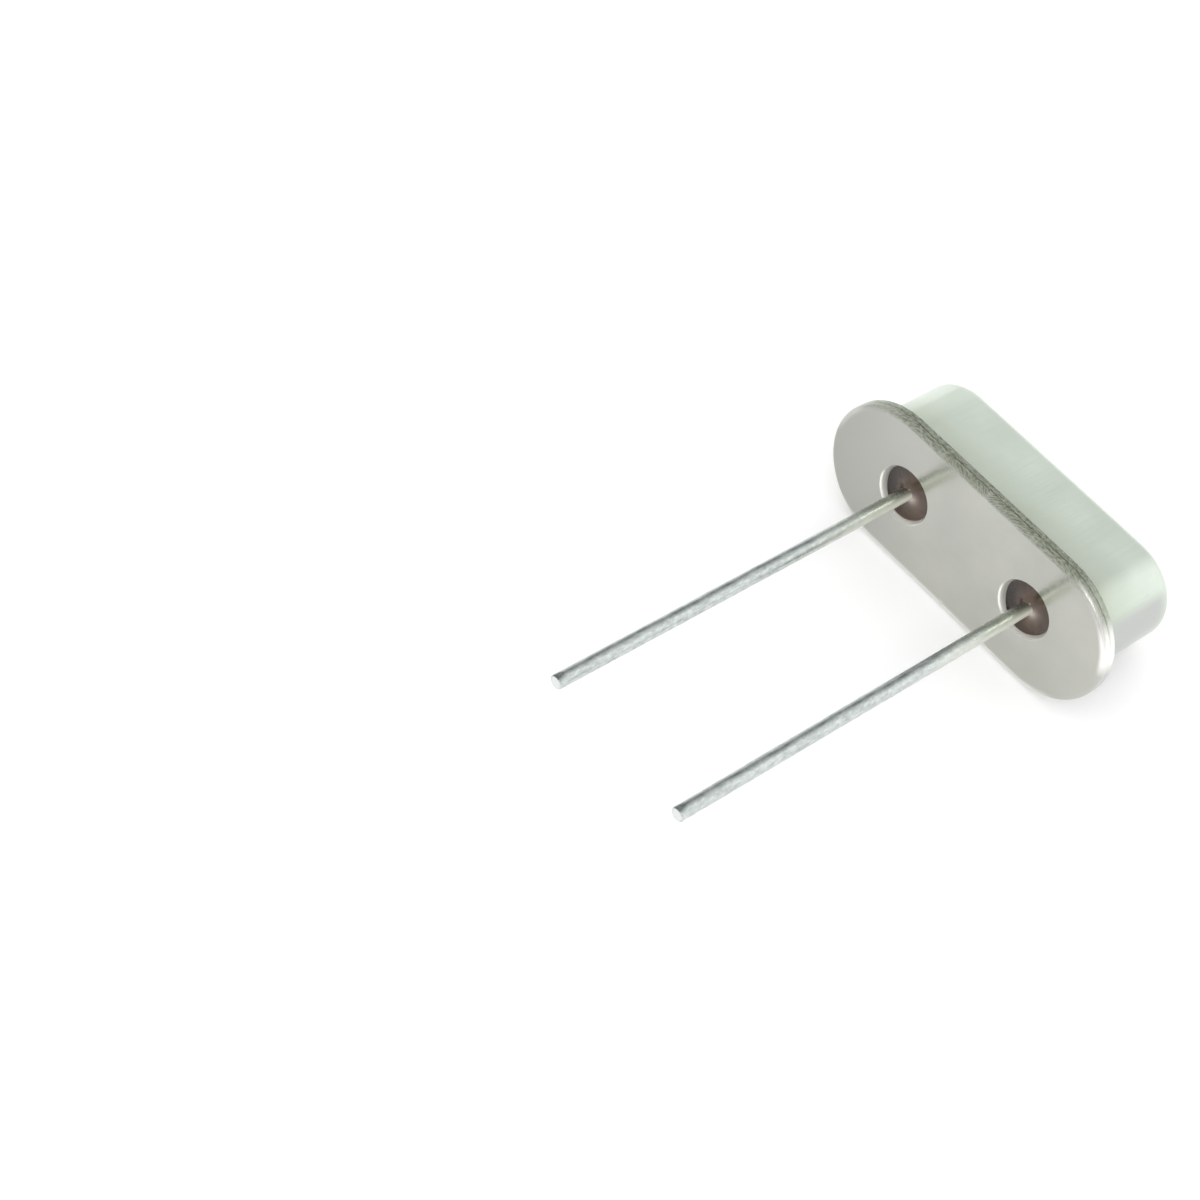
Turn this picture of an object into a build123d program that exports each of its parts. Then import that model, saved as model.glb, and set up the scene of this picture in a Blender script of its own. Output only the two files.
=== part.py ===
"""Quartz crystal in a low metal can with two wire leads.

Every piece is built upright: the seating face of the base is at z = 0, the can rises above it, the leads
hang below it and the leads stand in a row along X. The finished crystal is then laid down on a long side,
where the edge of the flange and the top edge of the can carry it and the leads point up at a slant.
"""
from math import asin, atan2, degrees, hypot
import os

from build123d import *

# Flange, shared by the base and the can
flange_length = 10.7
flange_width = 4.7
base_flange_thickness = 0.25
rim_chamfer = 0.04

# Can, drawn from sheet
can_length = 9.7
can_width = 3.25
overall_height = 3.45
can_sheet = 0.2
can_top_radius = 0.3
can_flare_radius = 0.25

# Base, coined from plate
face_rounding = 0.12
boss_length = 9.0
boss_width = 2.6
boss_height = 0.8
boss_chamfer = 0.12
hole_radius = 0.93
hole_chamfer = 0.04

# Leads and the glass around them
lead_pitch = 4.88
lead_radius = 0.215
lead_length = 12.8
lead_tip_chamfer = 0.05
lead_head_radius = 0.4
lead_head_thickness = 0.15
lead_head_gap = 0.2
tin_thickness = 0.01
tin_end = 0.3
glass_recess = 0.25
glass_climb_at_lead = 0.09
glass_climb_at_wall = 0.04

# Quartz strip, its electrodes and its mounting
blank_length = 8.0
blank_width = 1.8
blank_thickness = 0.166
film_thickness = 0.02
electrode_length = 4.4
electrode_width = 1.4
electrode_corner = 0.4
tab_width = 0.7
clip_sheet = 0.1
clip_width = 1.4
clip_neck_width = 0.8
clip_rise = 0.5
clip_bend_radius = 0.12
clip_corner = 0.15
clip_shelf_start = 3.2
clip_end = 4.15
clip_lip = 0.3
clip_slot_length = 0.5
clip_slot_width = 0.3
cement_radius = 0.4
cement_cover = 0.16
cement_chamfer = 0.1
cement_centre = 3.72

# Heights that follow from the above
flange_thickness = base_flange_thickness + can_sheet
boss_top = base_flange_thickness + boss_height
head_top = boss_top + lead_head_gap + lead_head_thickness
shelf_top = head_top + clip_rise + clip_sheet
blank_bottom = shelf_top + 2 * film_thickness
blank_top = blank_bottom + blank_thickness
sides = {"left": -1, "right": 1}


def obround(length, width):
    """Outline with two straight sides and two round ends."""
    return SlotOverall(length, width)


def slab(outline, bottom, top):
    """Straight prism of an outline between two heights."""
    return extrude(Pos(0, 0, bottom) * outline, top - bottom)


def edges_at(solid, height):
    """Edges that lie flat at one height."""
    return solid.edges().filter_by_position(Axis.Z, height - 1e-4, height + 1e-4)


def make_can():
    """Drawn shell of even thickness, open below, with a flared mouth and a flat flange round it."""
    shell = slab(obround(can_length, can_width), base_flange_thickness, overall_height)
    shell = fillet(edges_at(shell, overall_height), can_top_radius)
    shell += slab(obround(flange_length, flange_width), base_flange_thickness, flange_thickness)
    wall_foot = edges_at(shell, flange_thickness).filter_by(lambda edge: is_inside(edge, can_length))
    shell = fillet(wall_foot, can_flare_radius)

    inner_length = can_length - 2 * can_sheet
    inner_width = can_width - 2 * can_sheet
    hollow = slab(obround(inner_length, inner_width), base_flange_thickness, overall_height - can_sheet)
    hollow = fillet(edges_at(hollow, overall_height - can_sheet), can_top_radius - can_sheet)
    shell -= hollow
    mouth = edges_at(shell, base_flange_thickness).filter_by(lambda edge: is_inside(edge, inner_length))
    shell = fillet(mouth, can_flare_radius + can_sheet)

    mouth_length = can_length + 2 * can_flare_radius
    rim = edges_at(shell, base_flange_thickness) + edges_at(shell, flange_thickness)
    return chamfer(rim.filter_by(lambda edge: not is_inside(edge, mouth_length)), rim_chamfer)


def is_inside(edge, length):
    """Whether an edge of an obround ring belongs to the ring of this overall length, or a smaller one."""
    ring_end = (length + 1e-3) / 2
    ring_side = ring_end - (flange_length - flange_width) / 2
    box = edge.bounding_box()
    return max(abs(box.min.X), abs(box.max.X)) < ring_end and max(abs(box.min.Y), abs(box.max.Y)) < ring_side


def make_base():
    """Plate with a thin flange, a boss that enters the can and two round holes."""
    flange = slab(obround(flange_length, flange_width), 0, base_flange_thickness)
    flange = fillet(edges_at(flange, 0), face_rounding)
    flange = chamfer(edges_at(flange, base_flange_thickness), rim_chamfer)
    boss = slab(obround(boss_length, boss_width), base_flange_thickness, boss_top)
    plate = flange + chamfer(edges_at(boss, boss_top), boss_chamfer)
    for side in sides.values():
        hole = slab(Circle(hole_radius), 0, boss_top)
        plate -= Pos(side * lead_pitch / 2, 0, 0) * hole
    hole_edges = edges_at(plate, 0).filter_by(GeomType.CIRCLE)
    return chamfer(hole_edges.filter_by(lambda edge: edge.radius < 1.1 * hole_radius), hole_chamfer)


def make_glass_seal(side):
    """Glass ring that fills a hole round its lead, with a hollow meniscus at both ends."""
    bare_radius = lead_radius - tin_thickness
    middle = (bare_radius + hole_radius) / 2
    outer_face = ThreePointArc(
        (bare_radius, glass_recess - glass_climb_at_lead),
        (middle, glass_recess),
        (hole_radius, glass_recess - glass_climb_at_wall),
    )
    inner_face = ThreePointArc(
        (bare_radius, boss_top + glass_climb_at_lead - glass_climb_at_wall),
        (middle, boss_top - glass_climb_at_wall),
        (hole_radius, boss_top),
    )
    sides_of_ring = [
        Line(outer_face @ 0, inner_face @ 0),
        Line(outer_face @ 1, inner_face @ 1),
    ]
    section = Plane.XZ * make_face([outer_face, inner_face] + sides_of_ring)
    return Pos(side * lead_pitch / 2, 0, 0) * revolve(section, Axis.Z)


def make_lead(side):
    """Round wire: tinned and thicker where it is free, bare in the glass, with a flattened head inside."""
    bare_radius = lead_radius - tin_thickness
    head_bottom = head_top - lead_head_thickness
    half_section = Polyline(
        (0, -lead_length),
        (lead_radius - lead_tip_chamfer, -lead_length),
        (lead_radius, lead_tip_chamfer - lead_length),
        (lead_radius, -tin_end),
        (bare_radius, tin_thickness - tin_end),
        (bare_radius, head_bottom),
        (lead_head_radius - lead_head_thickness / 3, head_bottom),
        (lead_head_radius, (head_bottom + head_top) / 2),
        (lead_head_radius - lead_head_thickness / 3, head_top),
        (0, head_top),
        close=True,
    )
    wire = revolve(Plane.XZ * make_face(half_section), Axis.Z)
    return Pos(side * lead_pitch / 2, 0, 0) * wire


def clip_side_view():
    """Side view of a clip: a foot on the head of the lead, a rise, a shelf and a lip that turns up."""
    half = clip_sheet / 2
    foot_start = lead_pitch / 2 - lead_head_radius
    rise_start = lead_pitch / 2 + lead_head_radius
    centre_line = FilletPolyline(
        (foot_start, head_top + half),
        (rise_start, head_top + half),
        (clip_shelf_start, shelf_top - half),
        (clip_end, shelf_top - half),
        (clip_end, shelf_top + clip_lip),
        radius=clip_bend_radius,
    )
    return trace(centre_line, clip_sheet)


def clip_plan_view():
    """Top view of a clip: a narrow neck with a round foot, and a wide shelf with a slot for the cement."""
    neck_start = lead_pitch / 2 - lead_head_radius
    neck_length = clip_end - neck_start
    neck = Pos(neck_start + neck_length / 2, 0) * obround(neck_length, clip_neck_width)
    shelf_length = clip_end + clip_sheet - clip_shelf_start
    shelf = Pos(clip_shelf_start + shelf_length / 2, 0) * RectangleRounded(shelf_length, clip_width, clip_corner)
    slot = Pos(cement_centre, 0) * SlotOverall(clip_slot_length, clip_slot_width, rotation=90)
    return neck + shelf - slot


def make_clip(side):
    """Spring strip that carries one end of the quartz strip."""
    bent = extrude(Plane.XZ * clip_side_view(), clip_width / 2, both=True)
    cut = slab(clip_plan_view(), head_top, shelf_top + clip_lip)
    clip = bent & cut
    return clip if side > 0 else mirror(clip, about=Plane.YZ)


def make_blank():
    """Thin rectangular strip of quartz."""
    return slab(Rectangle(blank_length, blank_width), blank_bottom, blank_top)


def make_electrode(bottom, side):
    """Silver film on one broad face, with a tab that runs to one end."""
    tab_end = blank_length / 2 - film_thickness
    pad = RectangleRounded(electrode_length, electrode_width, electrode_corner)
    tab = Pos(side * tab_end / 2, 0) * Rectangle(tab_end, tab_width)
    return slab(pad + tab, bottom, bottom + film_thickness)


def make_cement(side, neighbours):
    """Flat drop that wraps one end of the quartz strip and sticks it to its clip."""
    drop_top = blank_top + film_thickness + cement_cover
    drop = slab(Circle(cement_radius), shelf_top - clip_sheet / 2, drop_top)
    drop = Pos(side * cement_centre, 0, 0) * chamfer(edges_at(drop, drop_top), cement_chamfer)
    for neighbour in neighbours:
        drop -= neighbour
    return drop


def make_pieces():
    """All pieces of the upright crystal by name."""
    pieces = {"can": make_can(), "base": make_base()}
    for name, side in sides.items():
        pieces["glass_seal_" + name] = make_glass_seal(side)
        pieces["lead_" + name] = make_lead(side)
        pieces["clip_" + name] = make_clip(side)
    pieces["quartz_blank"] = make_blank()
    pieces["electrode_base_side"] = make_electrode(blank_bottom - film_thickness, 1)
    pieces["electrode_can_side"] = make_electrode(blank_top, -1)
    strip = [pieces[name] for name in ("quartz_blank", "electrode_base_side", "electrode_can_side")]
    for name, side in sides.items():
        pieces["cement_" + name] = make_cement(side, strip + [pieces["clip_" + name]])
    return pieces


def lay_down(pieces):
    """Turn and lift the pieces so that flange edge and can edge rest on the ground."""
    width_step = (flange_width - can_width) / 2 + can_top_radius
    height_step = (overall_height - can_top_radius) - (flange_thickness - rim_chamfer)
    reach = hypot(width_step, height_step)
    rest_slant = degrees(atan2(width_step, height_step) - asin(can_top_radius / reach))
    turn = Rot(-90 - rest_slant, 0, 0)
    box = Compound([turn * piece for piece in pieces.values()]).bounding_box()
    shift = Pos(0, -box.center().Y, -box.min.Z)
    return {name: shift * turn * piece for name, piece in pieces.items()}


os.makedirs("parts", exist_ok=True)
for node, solid in lay_down(make_pieces()).items():
    export_step(solid, f"parts/{node}.step")
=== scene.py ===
"""A quartz crystal in a low metal can, lying on one long side on a pale table.

Every shape is worked out upright and in millimetres, with the seating face of the base at z = 0, the can
above it and the leads below it in a row along X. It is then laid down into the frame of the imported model,
in metres.
"""
from math import asin, atan2, cos, hypot, pi, radians, sin

import bmesh
import bpy
import numpy as np
from mathutils import Matrix, Vector


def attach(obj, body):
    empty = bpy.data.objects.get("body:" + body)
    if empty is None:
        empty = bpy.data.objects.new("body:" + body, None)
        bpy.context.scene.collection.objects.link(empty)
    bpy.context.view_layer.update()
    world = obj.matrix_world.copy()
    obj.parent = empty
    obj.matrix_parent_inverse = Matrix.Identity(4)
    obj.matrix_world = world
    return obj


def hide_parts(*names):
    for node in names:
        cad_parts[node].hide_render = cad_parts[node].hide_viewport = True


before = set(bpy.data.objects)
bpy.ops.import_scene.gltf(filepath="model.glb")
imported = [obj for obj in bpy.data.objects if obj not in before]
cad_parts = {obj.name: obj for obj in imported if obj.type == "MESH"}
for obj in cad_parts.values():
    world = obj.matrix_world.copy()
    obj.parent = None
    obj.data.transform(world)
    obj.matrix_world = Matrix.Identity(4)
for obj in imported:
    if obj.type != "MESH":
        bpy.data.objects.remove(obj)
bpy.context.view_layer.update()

MM = 0.001
SIDES = {"left": -1, "right": 1}

# Sizes of the real crystal, in millimetres

# Flange, shared by the base and the can
FLANGE_LENGTH = 10.7
FLANGE_WIDTH = 4.7
BASE_FLANGE = 0.25
FACE_ROUNDING = 0.12
SHEARED_ROUNDING = 0.05

# Can
CAN_LENGTH = 9.7
CAN_WIDTH = 3.25
CAN_TOP = 3.45
CAN_SHEET = 0.2
CAN_TOP_RADIUS = 0.3
CAN_FLARE_RADIUS = 0.25

# Base
BOSS_LENGTH = 9.0
BOSS_WIDTH = 2.6
BOSS_TOP = 1.05
BOSS_ROUNDING = 0.12
HOLE_MOUTH_RADIUS = 0.945
HOLE_RADIUS = 0.84
HOLE_MOUTH_DEPTH = 0.22

# Leads
LEAD_PITCH = 4.88
LEAD_RADIUS = 0.215
LEAD_LENGTH = 12.8
LEAD_TIP_ROUNDING = 0.04
HEAD_RADIUS = 0.4
HEAD_BOTTOM = 1.25
HEAD_TOP = 1.4

# Tin on the free part of the leads. It thins out at the base, and is even close to both its ends
TIN_THICKNESS = 0.01
TIN_END = 0.3
TIN_TAPER = 0.4
TIN_EVEN_FOR = 0.1
TIN_UNEVEN_FROM = 0.3
BARE_RADIUS = LEAD_RADIUS - TIN_THICKNESS

# Unevenness of the tin as a share of the radius, and its waves: radians per mm along the wire, waves round
# it and a starting phase. The more waves go round, the weaker they are
TIN_UNEVENNESS = 0.003
TIN_WAVES = [(2.1, 0, 0.3), (3.7, 1, 1.9), (5.3, 1, 4.1), (8.9, 2, 2.2), (13.1, 3, 5.0)]
TIN_WAVE_LOSS = 0.3

# Glass in the holes: how deep it is set back, how far it climbs its lead and its wall, and over what
# distance each climb falls off. On the inner face the climb is a share of the outer one
GLASS_RECESS = 0.27
GLASS_CLIMB_AT_LEAD = 0.12
GLASS_FALL_AT_LEAD = 0.12
GLASS_CLIMB_AT_WALL = 0.03
GLASS_FALL_AT_WALL = 0.05
GLASS_INNER_RECESS = 0.04
GLASS_INNER_CLIMB = 0.9

# Where the outer face of the glass climbed more: its wall towards +Y, and its lead on the upper side
GLASS_CLIMB_AT_BACK = 0.14
GLASS_CLIMB_AT_TOP = 0.08
GLASS_TOP_SIDE = radians(-118)
GLASS_TOP_WIDTH = 0.9
GLASS_WIDE_FALL = 0.2

# How the crystal lies: turned about X until flange edge and can edge touch the ground, lifted onto it, and
# moved along Y until the cut ends of the leads and the top of the can are equally far from the middle
CAD_CHAMFER = 0.04
CAD_TIP_CHAMFER = 0.05
FLANGE_EDGE_HEIGHT = BASE_FLANGE + CAN_SHEET - CAD_CHAMFER
WIDTH_STEP = (FLANGE_WIDTH - CAN_WIDTH) / 2 + CAN_TOP_RADIUS
HEIGHT_STEP = (CAN_TOP - CAN_TOP_RADIUS) - FLANGE_EDGE_HEIGHT
REST_SLANT = atan2(WIDTH_STEP, HEIGHT_STEP) - asin(CAN_TOP_RADIUS / hypot(WIDTH_STEP, HEIGHT_STEP))
LIFT = FLANGE_WIDTH / 2 * cos(REST_SLANT) + FLANGE_EDGE_HEIGHT * sin(REST_SLANT)
LEAD_REACH = LEAD_LENGTH * cos(REST_SLANT) + (LEAD_RADIUS - CAD_TIP_CHAMFER) * sin(REST_SLANT)
CAN_REACH = (
    (CAN_TOP - CAN_TOP_RADIUS) * cos(REST_SLANT)
    + (CAN_WIDTH / 2 - CAN_TOP_RADIUS) * sin(REST_SLANT)
    + CAN_TOP_RADIUS)
LAY_TURN = -pi / 2 - REST_SLANT
LAY_SHIFT = (0.0, (LEAD_REACH - CAN_REACH) / 2, LIFT)

# Distances below which two points are the same one, upright in mm and laid down in metres, and the angle
# between two faces from which their edge is sharp
TOUCH = 1e-6
JOINED = 2e-7
SHARP = radians(50)

# Wear, finish and painted light by place. A table holds places and the share there, and ramps join them.

# Wear and painted highlight of a flange edge. The torn edge lies on the upper long side; a near white
# painted highlight lies round the right end, less round the left one, and along the rounding of the lower
# long side.
# Places round an end are in degrees: 0 on the long side that lies uppermost, 90 at the tip and 180 on the
# lower long side. Places across the edge run from 0 on the face of the flange to 1 on its edge
TORN_ROUND_END = ((10, 22, 42, 58), (1, 0.7, 0.45, 0))
TORN_AT_FACE = 0.7
HIGHLIGHT_ROUNDING = ((8, 22, 46, 58, 76, 88), (0, 0.25, 0.3, 1, 1, 0))
HIGHLIGHT_EDGE = ((44, 58, 76, 88), (0, 1, 1, 0.1))
HIGHLIGHT_AT_LEFT_END = 0.25
HIGHLIGHT_LOWER_ROUNDING = ((140, 165), (0, 0.75))
EDGE_WEAR_ONSET = 0.125
ROUNDING_FADE = 0.25

# Place across the edge of the outer rings of the base's face, by weight, and of its rounding, by height
WORN_FACE = ((0.95, 1), (0, 0.1))
WORN_ROUNDING = ((0, FACE_ROUNDING), (0.1, 1))

# Can: painted shade up to a height, where the flange shades the wall, and a greyer painted shade round its
# right end below the top edge
FLANGE_SHADE_HEIGHTS = ((0.9, 2.3), (1, 0))
END_SHADE_ROUND_END = ((50, 60), (0, 1))
END_SHADE_HEIGHTS = ((2.9, 3.25), (1, 0))

# Base: painted shade, greyer towards its left end, by the distance from the middle
BASE_END_SHADE = ((1.5, FLANGE_LENGTH / 2), (0, 1))

# Mouth of a hole. Places down it are angles of its quarter ellipse, 0 in the throat and pi / 2 at the
# face. It carries a near white painted highlight on one side, which a unit vector in plan points to, by the
# cosine of the angle from there, and its throat is pale and matt, a glass coat that is painted highlight
# too
MOUTH_HIGHLIGHT = ((0.8, 1.15, 1.45, pi / 2), (0, 1, 1, 0.3))
MOUTH_FIRED_AND_HIGHLIGHT = ((0.8, 1.15), (1, 0))
MOUTH_HIGHLIGHT_SIDE = (-0.94, 0.342)
MOUTH_HIGHLIGHT_FACING = ((0.8, 0.94), (0.1, 1))

# Glass: painted shade away from the lead, where the wall shades the recess, and a pale painted glint close
# to the lead that is palest on one side
GLASS_SHADE_DISTANCES = ((0.3, 0.6), (0, 1))
GLASS_SHADE_TURN = 0.3
GLASS_GLINT_FALL = 0.1
GLASS_GLINT_SIDE = radians(40)
GLASS_GLINT_WIDTH = 0.9
GLASS_GLINT_LEAST = 0.05

# Lead: a yellowish tarnish by height, which dims the die lines and the painted shade line, and a pale matt
# coat by height, which is a painted highlight on the free wire and is palest on one side
TARNISHED_HEIGHTS = ((-4, -0.8), (0, 1))
TARNISH_OVER_LINES = 0.65
FIRED_AND_HIGHLIGHT_HEIGHTS = ((-4.5, -2, -0.7, 0.1), (0, 0.65, 0.8, 1))
HIGHLIGHT_SIDE = radians(-14)
HIGHLIGHT_WIDTH = 0.7
HIGHLIGHT_LEAST = 0.08

# Cut end of a lead: white inside its rounding, with tin smeared thin up one side of the wire
CUT_WHITE = ((LEAD_RADIUS - 2 * LEAD_TIP_ROUNDING, LEAD_RADIUS), (1, 0.3))
BURR_LENGTH = 0.3
BURR_SIDE = radians(-105)
BURR_WIDTH = 0.7
BURR_STRENGTH = 1.2

# Lines along the wire: place and width in degrees, how thin the tin is, a starting phase. The first, on the
# upper side, is a painted shade line; the others are lines that the die drew
DIE_AND_SHADE_LINES = [(-101, 19, 1.0, 0.4), (25, 8, 0.15, 2.2), (112, 12, 0.7, 4.0), (170, 7, 0.4, 1.1)]

# How a die line strays, as two waves with a reach in radians round the wire and a phase per mm along it,
# and how it breaks up, as a share of its strength and two phases per mm
DIE_STRAYS = ((0.05, 1.3), (0.03, 4.7))
DIE_BREAKS = (0.15, 3.1, 7.3)


# Profiles: rows of (reach, height, half length). Reach is the distance from the long middle line of the
# crystal and half length is half of that line, so that one profile can run from one obround to a longer
# one.

def arc(reach, height, radius, start, stop, half_length, steps):
    """Circle arc about (reach, height): radius times cosine and sine, from start to stop in degrees."""
    turn = np.radians(np.linspace(start, stop, steps + 1))
    rows = [reach + radius * np.cos(turn), height + radius * np.sin(turn), 0 * turn + half_length]
    return np.column_stack(rows)


def run(start, stop, steps, hold=0.015, most=0.3):
    """Straight run between two rows in equal steps, with one more row close inside each end.

    That row keeps the run flat. It is hold mm from the end, but no more than the share most of the run.
    """
    start, stop = np.array(start, float), np.array(stop, float)
    inset = min(hold / hypot(*(stop - start)[:2]), most)
    shares = np.unique(np.r_[0, inset, np.linspace(0, 1, steps + 1), 1 - inset, 1])
    return start + shares[:, None] * (stop - start)


def obround_path(end_steps=72, side_steps=36):
    """Once round an obround as (share of the half length, angle).

    The angle turns at the ends, while the share stays 1 or -1, and the share runs along the sides.
    """
    turn = np.linspace(-pi / 2, pi / 2, end_steps + 1)
    slide = np.linspace(1, -1, side_steps + 1)
    share = np.r_[0 * turn + 1, slide, 0 * turn - 1, -slide]
    angle = np.r_[turn, 0 * slide + pi / 2, turn + pi, 0 * slide + 3 * pi / 2]
    return share, angle


def carried(profile, share, angle):
    """Profile carried round a path: x is share * half length + reach * cos(angle), y reach * sin(angle)."""
    reach, height, half_length = (column[:, None] for column in profile.T)
    x = share * half_length + reach * np.cos(angle)
    y = reach * np.sin(angle)
    return np.stack([x, y, height + 0 * x], axis=-1)


def revolved(profile, centre_x, turns):
    """Profile turned about a vertical line at centre_x: the path is one full circle."""
    angle = np.linspace(0, 2 * pi, turns + 1)
    points = carried(profile, 0 * angle, angle)
    points[:, -1] = points[:, 0]
    return points + np.array([centre_x, 0, 0])


def lengths_along(points, axis):
    """Distance run along one axis of a grid of points, starting at 0."""
    steps = np.linalg.norm(np.diff(points, axis=axis), axis=-1)
    return np.concatenate([np.zeros_like(np.take(steps, [0], axis)), np.cumsum(steps, axis)], axis)


def bell_round(angle, place, width, least=0.0):
    """Bell curve round a wire, from least to 1: exp(-(shortest way round / width) squared), in radians."""
    apart = np.abs((angle - place + pi) % (2 * pi) - pi)
    return least + (1 - least) * np.exp(-(apart / width) ** 2)


def edge_wear_and_highlight(way, is_right, across):
    """How torn a flange edge is and how much painted highlight it carries, as products of ramps of its two
    places.

    way is the place round an end and across the place across the edge, as the tables above have them. The
    upper long side keeps the torn edge of the shearing tool, which fades out on the round ends. These are
    smooth, and the right one carries a near white painted highlight: first along the rounding of the face,
    then over the whole edge; the left one carries less of it. The rounding of the lower long side carries a
    painted highlight too.
    """
    on_edge = np.clip(across / EDGE_WEAR_ONSET, 0, 1)
    torn = on_edge * (TORN_AT_FACE + (1 - TORN_AT_FACE) * across) * np.interp(way, *TORN_ROUND_END)
    on_rounding = on_edge * np.clip((1 - across) / ROUNDING_FADE, 0, 1)
    along_face = on_rounding * np.interp(way, *HIGHLIGHT_ROUNDING)
    painted_highlight = np.maximum(along_face, across * np.interp(way, *HIGHLIGHT_EDGE))
    painted_highlight = painted_highlight * np.where(is_right, 1, HIGHLIGHT_AT_LEFT_END)
    painted_highlight = np.maximum(painted_highlight, on_rounding * np.interp(way, *HIGHLIGHT_LOWER_ROUNDING))
    return torn * (1 - painted_highlight), painted_highlight


# Mesh building

def laid_down(points):
    """Upright millimetres into the frame in metres: a turn about X, then a shift."""
    turn = np.array(Matrix.Rotation(LAY_TURN, 3, "X"))
    return (points @ turn.T + np.array(LAY_SHIFT)) * MM


class Grid:
    """Rows and columns of upright points, with a UV in mm along both and some values per point."""

    def __init__(self, points, keep=None, **values):
        rows, columns = points.shape[:2]
        number = np.arange(rows * columns).reshape(rows, columns)
        corners = np.stack([number[:-1, :-1], number[:-1, 1:], number[1:, 1:], number[1:, :-1]], axis=-1)
        self.points = points.reshape(-1, 3)
        self.faces = corners.reshape(-1, 4) if keep is None else corners[keep]
        lengths = lengths_along(points, 1)
        along = np.broadcast_to(lengths[np.argmax(lengths[:, -1])], (rows, columns))
        self.uv = np.stack([along, lengths_along(points, 0)], axis=-1).reshape(-1, 2)
        self.values = {
            name: np.broadcast_to(value, (rows, columns)).ravel()
            for name, value in values.items()}


def make_piece(name, grids, finish, node):
    """One closed mesh of some grids, in place of a CAD node.

    The grids are joined where they meet, all faces point outwards, and the surface is smooth but for sharp
    edges.
    """
    first = np.cumsum([0] + [len(grid.points) for grid in grids])
    points = laid_down(np.vstack([grid.points for grid in grids]))
    faces = np.vstack([grid.faces + start for grid, start in zip(grids, first)])
    mesh = bpy.data.meshes.new(name)
    mesh.from_pydata(points, [], faces)
    uv = np.vstack([grid.uv for grid in grids])[faces.ravel()]
    mesh.uv_layers.new(name="millimetres").data.foreach_set("uv", uv.ravel())
    for value in grids[0].values:
        share = np.concatenate([grid.values[value] for grid in grids]).astype(np.float32)
        mesh.attributes.new(value, "FLOAT", "POINT").data.foreach_set("value", share)

    shell = bmesh.new()
    shell.from_mesh(mesh)
    bmesh.ops.remove_doubles(shell, verts=shell.verts, dist=JOINED)
    bmesh.ops.recalc_face_normals(shell, faces=shell.faces)
    shell.to_mesh(mesh)
    shell.free()
    mesh.shade_smooth()
    mesh.set_sharp_from_angle(angle=SHARP)
    mesh.materials.append(finish)
    piece = bpy.data.objects.new(name, mesh)
    bpy.context.scene.collection.objects.link(piece)
    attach(piece, "root")
    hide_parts(node)
    return piece


# The can

def can_sections():
    """Outside and inside of the drawn can, as profiles.

    The outside goes from the rim over the flange, the flare, the wall and the top edge to the middle of
    the top. The inside goes back from there to the rim, one sheet thickness away. The last number of a run
    or an arc is its count of mesh steps.
    """
    rim_half, wall_half = (FLANGE_LENGTH - FLANGE_WIDTH) / 2, (CAN_LENGTH - CAN_WIDTH) / 2
    rim, wall = FLANGE_WIDTH / 2, CAN_WIDTH / 2
    low, high = BASE_FLANGE, BASE_FLANGE + CAN_SHEET
    edge, inner = SHEARED_ROUNDING, wall - CAN_SHEET
    mouth, flare_height = wall + CAN_FLARE_RADIUS, high + CAN_FLARE_RADIUS
    round_reach, round_height = wall - CAN_TOP_RADIUS, CAN_TOP - CAN_TOP_RADIUS
    ceiling = CAN_TOP - CAN_SHEET
    outside = np.vstack([
        arc(rim - edge, low + edge, edge, -90, 0, rim_half, 6),
        run((rim, low + edge, rim_half), (rim, high - edge, rim_half), 3),
        arc(rim - edge, high - edge, edge, 0, 90, rim_half, 6),
        run((rim - edge, high, rim_half), (mouth, high, wall_half), 4),
        arc(mouth, flare_height, CAN_FLARE_RADIUS, 270, 180, wall_half, 12),
        run((wall, flare_height, wall_half), (wall, round_height, wall_half), 12),
        arc(round_reach, round_height, CAN_TOP_RADIUS, 0, 90, wall_half, 14),
        run((round_reach, CAN_TOP, wall_half), (0, CAN_TOP, wall_half), 6),
    ])
    inside = np.vstack([
        run((0, ceiling, wall_half), (round_reach, ceiling, wall_half), 3),
        arc(round_reach, round_height, CAN_TOP_RADIUS - CAN_SHEET, 90, 0, wall_half, 6),
        run((inner, round_height, wall_half), (inner, flare_height, wall_half), 3),
        arc(mouth, flare_height, CAN_FLARE_RADIUS + CAN_SHEET, 180, 270, wall_half, 10),
        run((mouth, low, wall_half), (rim - edge, low, rim_half), 3),
    ])
    return outside, inside


def make_can(finish):
    """The can's sections carried round the obround and joined along the rim."""
    share, angle = obround_path()
    way = np.degrees(np.arccos(-np.sin(angle)))
    is_right = share > 0
    grids = []
    for profile in can_sections():
        reach, height = profile[:, :1], profile[:, 1:2]
        on_edge = (reach > FLANGE_WIDTH / 2 - SHEARED_ROUNDING - TOUCH).astype(float)
        torn, painted_highlight = edge_wear_and_highlight(way, is_right, on_edge)
        # Painted shade low on the wall, where the flange shades it, and a greyer painted shade round the
        # right end
        painted_flange_shade = np.interp(height, *FLANGE_SHADE_HEIGHTS)
        painted_end_shade = is_right * np.interp(way, *END_SHADE_ROUND_END) * np.interp(height, *END_SHADE_HEIGHTS)
        points = carried(profile, share, angle)
        grids.append(Grid(points, torn=torn, painted_highlight=painted_highlight, painted_flange_shade=painted_flange_shade, painted_end_shade=painted_end_shade))
    return make_piece("drawn_can", grids, finish, "can")


# The base. Every ring of its right half has the same count of points: along a straight side, round the
# end, back along the other side and along the middle line, where the two halves are joined.

SLIDE = np.linspace(0, 1, 37)
TURN = np.linspace(pi / 2, -pi / 2, 97)
MIDDLE = np.linspace(-1, 1, 41)
MOUTH_TURN = np.linspace(0, pi / 2, 17)
HOLE_CENTRE = np.array([LEAD_PITCH / 2, 0])

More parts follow.
